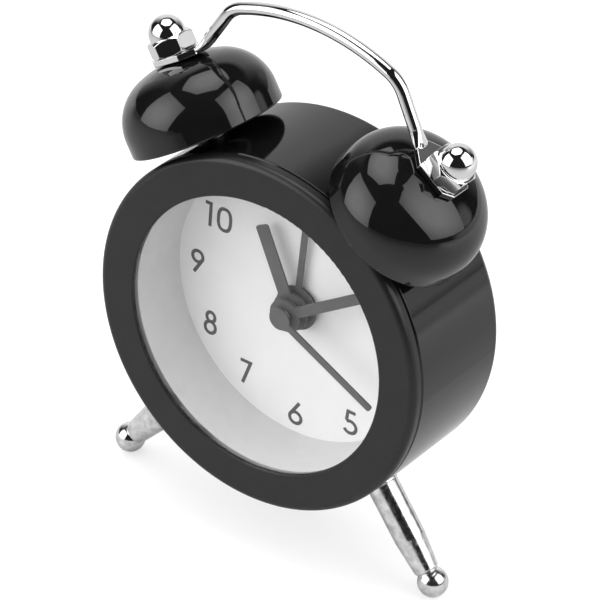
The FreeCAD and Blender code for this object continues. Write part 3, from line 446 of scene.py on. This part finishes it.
def softbox(name, azimuth, elevation, width, height, sides=4):
    """Panel facing the clock that glows most in its middle; azimuth 0 is in front and 90 is on the right."""
    turn, lift = math.radians(azimuth), math.radians(elevation)
    away = Vector((math.sin(turn) * math.cos(lift), -math.cos(turn) * math.cos(lift), math.sin(lift)))
    mesh = bmesh.new()
    corners = []
    for side in range(sides):
        angle = 2 * math.pi * (side + 0.5) / sides
        scale = 1 / math.cos(math.pi / sides)
        corners.append(mesh.verts.new((width / 2 * scale * math.cos(angle),
                                       height / 2 * scale * math.sin(angle), 0)))
    mesh.faces.new(corners)
    piece = make_object(name, mesh, glow_material(name, width))
    piece.location = at(*SOFTBOX_TARGET) + away * SOFTBOX_DISTANCE
    piece.rotation_mode = "QUATERNION"
    piece.rotation_quaternion = away.to_track_quat("Z", "Y")
    piece.visible_camera = False


# Directions: BEHIND is the way the photo looks along the floor, and ASIDE is to the right of it
BEHIND = (-0.555, 0.832, 0.0)
ASIDE = (0.832, 0.555, 0.0)
LEFT = (-0.77, -0.54, 0.34)
# Pale parts of the dark room, as mirrors see them. Each part is bounded by edges: a direction, and what
# toward() makes of it. The sweep of paper goes up behind the clock, the low strip and the small card
# stand beside it on the right, and the foot joins the floor.
SWEEP = ((BEHIND, 0.1, 0.3, 0, 1), (UP, 0.585, 0.71, 1, 0), (ASIDE, 0.35, 0.75, 1, 0),
         (ASIDE, -0.75, -0.35, 0, 1))
STRIP = ((BEHIND, 0.02, 0.16, 0, 0.5), (UP, 0.28, 0.50, 1, 0), (ASIDE, 0.30, 0.50, 0, 1),
         (ASIDE, 0.64, 0.82, 1, 0))
CARD = (((0.68, 0.70, 0.215), 0.980, 0.994, 0, 1),)
FOOT = ((BACK, 0.3, 0.5, 0, 1), (UP, 0.04, 0.06, 1, 0))
PALE_PARTS = (SWEEP, STRIP, CARD, FOOT)
ROOM_GREY = 0.015
PAPER_GREY = 0.90
# Fill on matt surfaces: the range toward LEFT over which it grows, and its strength at both ends
FILL = (0.0, 0.95, 1.02, 2.25)


def world():
    """Dark room with a pale paper sweep behind; soft fill on matt surfaces, most of it from the left."""
    scene_world = bpy.data.worlds.new("studio")
    bpy.context.scene.world = scene_world
    scene_world.use_nodes = True
    tree = scene_world.node_tree
    tree.nodes.clear()
    output = tree.nodes.new("ShaderNodeOutputWorld")
    where = tree.nodes.new("ShaderNodeTexCoord").outputs["Generated"]
    parts = [chain(tree, "MULTIPLY", [toward(tree, where, *edge) for edge in edges])
             for edges in PALE_PARTS]
    pale = chain(tree, "MAXIMUM", parts)
    room = tree.nodes.new("ShaderNodeBackground")
    tree.links.new(tint(tree, pale, grey(ROOM_GREY), grey(PAPER_GREY)), room.inputs["Color"])
    backdrop = tree.nodes.new("ShaderNodeBackground")
    backdrop.inputs["Color"].default_value = (1, 1, 1, 1)
    fill = tree.nodes.new("ShaderNodeBackground")
    tree.links.new(toward(tree, where, LEFT, *FILL), fill.inputs["Strength"])
    ray = tree.nodes.new("ShaderNodeLightPath")
    seen = room.outputs["Background"]
    for kind, light in (("Is Diffuse Ray", fill), ("Is Camera Ray", backdrop)):
        choice = tree.nodes.new("ShaderNodeMixShader")
        tree.links.new(ray.outputs[kind], choice.inputs["Fac"])
        tree.links.new(seen, choice.inputs[1])
        tree.links.new(light.outputs["Background"], choice.inputs[2])
        seen = choice.outputs["Shader"]
    tree.links.new(seen, output.inputs["Surface"])


def camera():
    """Camera fitted to the photo: angles in radians, and distances in radii of the case."""
    azimuth, elevation, roll = 0.588302, 0.569968, 0.0757704
    distance, across, up_by = 20.4634, 0.240789, 0.191745
    ahead = Vector((-math.sin(azimuth) * math.cos(elevation), math.cos(azimuth) * math.cos(elevation),
                    -math.sin(elevation)))
    right = ahead.cross(Vector((0, 0, 1))).normalized()
    up = right.cross(ahead)
    right_rolled = math.cos(roll) * right + math.sin(roll) * up
    up_rolled = math.cos(roll) * up - math.sin(roll) * right
    place = (across * right_rolled + up_by * up_rolled - distance * ahead) * CASE_RADIUS
    data = bpy.data.cameras.new("camera")
    data.sensor_width = 36.0
    data.lens = 240.0
    data.clip_start, data.clip_end = 0.05, 20.0
    shot = bpy.data.objects.new("camera", data)
    turn = Matrix((right_rolled, up_rolled, -ahead)).transposed().to_4x4()
    shot.matrix_world = Matrix.Translation(at(*place)) @ turn
    bpy.context.scene.collection.objects.link(shot)
    bpy.context.scene.camera = shot


floor()
softbox("softbox_left", -38, 18, 0.62, 0.66)
softbox("softbox_right", 103, 36, 0.60, 0.70)
softbox("softbox_top", -105, 77.5, 0.53, 0.53, 6)
world()
camera()
bpy.context.scene.view_settings.view_transform = "Standard"
